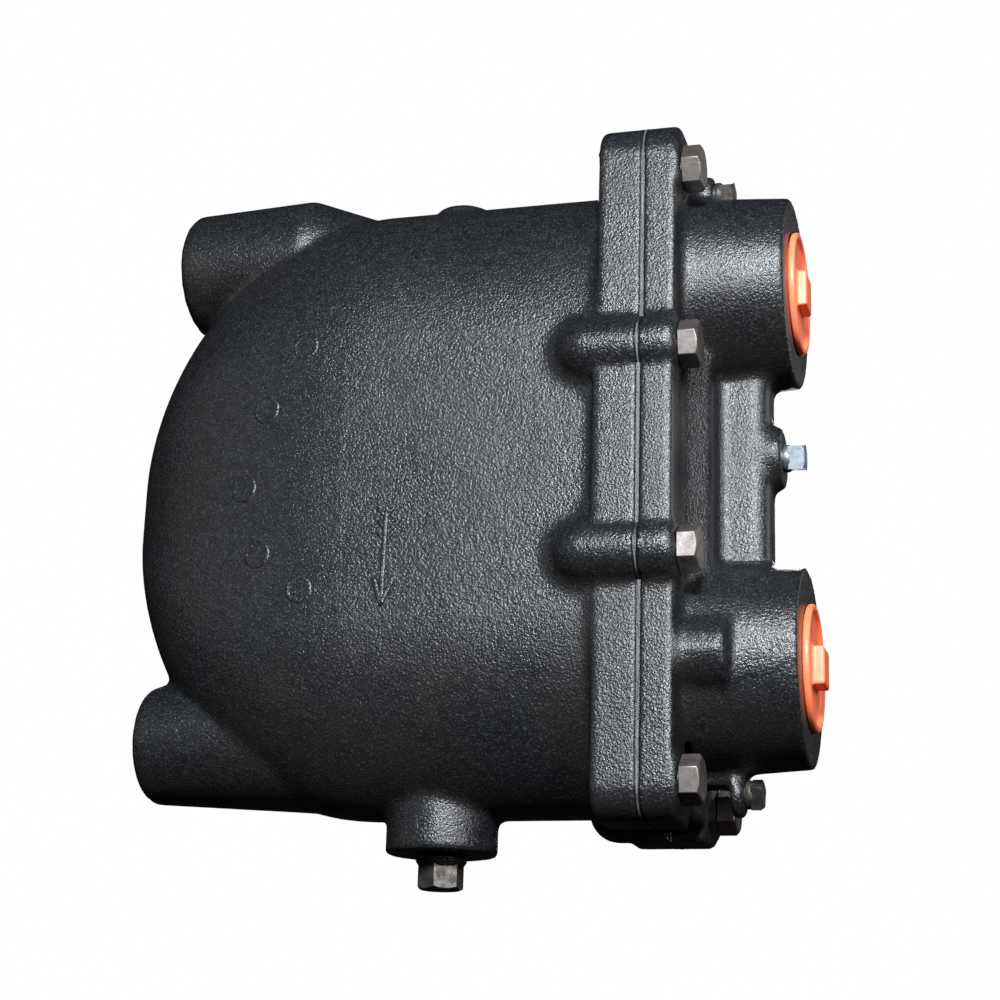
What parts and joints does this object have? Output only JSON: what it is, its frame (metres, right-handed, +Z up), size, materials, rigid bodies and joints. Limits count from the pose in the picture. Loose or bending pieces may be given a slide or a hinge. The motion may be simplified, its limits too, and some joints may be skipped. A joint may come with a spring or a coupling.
{
  "type": "steam trap",
  "caption": "Float and thermostatic steam trap: domed cast iron body, bolted cover with threaded inlet and outlet, float valve and air vent inside.",
  "frame": {"origin": "centre of the inlet port's face on the cover", "axes": "+X out of the inlet port along its axis, +Z up, +Y towards the far side of the trap"},
  "size_m": [0.2974, 0.1226, 0.31],
  "materials": {
    "black_paint": "satin black paint over a sand-cast skin",
    "gasket_sheet": "grey pressed gasket sheet",
    "bolt_steel": "dull oiled steel",
    "zinc_steel": "bright zinc plate",
    "orange_plastic": "orange moulded polyethylene",
    "stainless": "plain stainless steel"
  },
  "bodies": {
    "casing": {"body": "black_paint", "cover": "black_paint", "cover_gasket": "gasket_sheet", "cover_bolts": "bolt_steel", "inlet_thread_protector": "orange_plastic", "outlet_thread_protector": "orange_plastic", "drain_plug": "bolt_steel", "cover_top_plug": "bolt_steel", "cover_middle_plug": "zinc_steel", "cover_bottom_plug": "bolt_steel", "valve_seat": "stainless", "valve_seat_gasket": "gasket_sheet", "pivot_frame": "stainless", "pivot_frame_screws": "stainless", "pivot_pin": "stainless", "pivot_pin_clips": "stainless", "air_vent_seat": "stainless", "air_vent_seat_gasket": "gasket_sheet", "air_vent_cage": "stainless", "air_vent_cage_screws": "stainless", "air_vent_capsule": "stainless", "air_vent_spring": "stainless"},
    "float_mechanism": {"float_lever": "stainless", "float_ball": "stainless", "float_screw": "stainless", "valve_head": "stainless", "valve_head_nut": "stainless"},
    "air_vent_poppet": {"air_vent_valve": "stainless"}
  },
  "joints": [
    {"name": "float_lift", "type": "hinge", "parent": "casing", "child": "float_mechanism", "pos_m": [-0.072, 0, -0.116], "axis": [0, 1, 0], "range_deg": [0, 26]},
    {"name": "air_vent_stroke", "type": "slide", "parent": "casing", "child": "air_vent_poppet", "axis": [1, 0, 0], "range_m": [0, 0.0012], "stiffness_N_per_m": 200}
  ]
}
